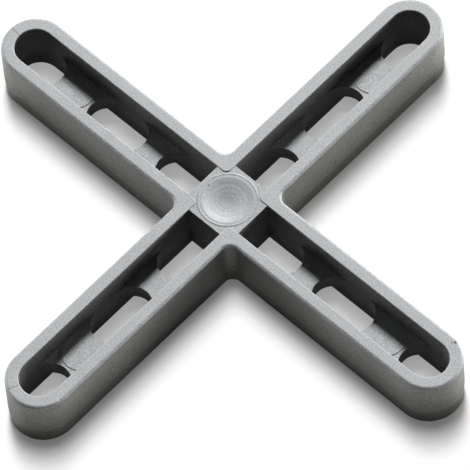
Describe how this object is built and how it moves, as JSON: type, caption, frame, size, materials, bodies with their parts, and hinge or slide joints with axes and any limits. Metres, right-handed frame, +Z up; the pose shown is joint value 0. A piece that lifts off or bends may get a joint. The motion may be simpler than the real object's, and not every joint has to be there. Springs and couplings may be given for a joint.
{
  "type": "tile spacer",
  "caption": "Cross-shaped moulded plastic tile spacer with hollow round-ended arms, low rungs across them and a dished block in the middle.",
  "frame": {"origin": "middle of the cross, on the plane it lies on", "axes": "+Z up, out of the open rims; the arms lie along X and Y"},
  "size_m": [0.0438, 0.0438, 0.0048],
  "materials": {
    "plastic": "fine spark-eroded grain, mid grey"
  },
  "bodies": {
    "root": {"spacer_cross": "plastic"}
  },
  "joints": []
}
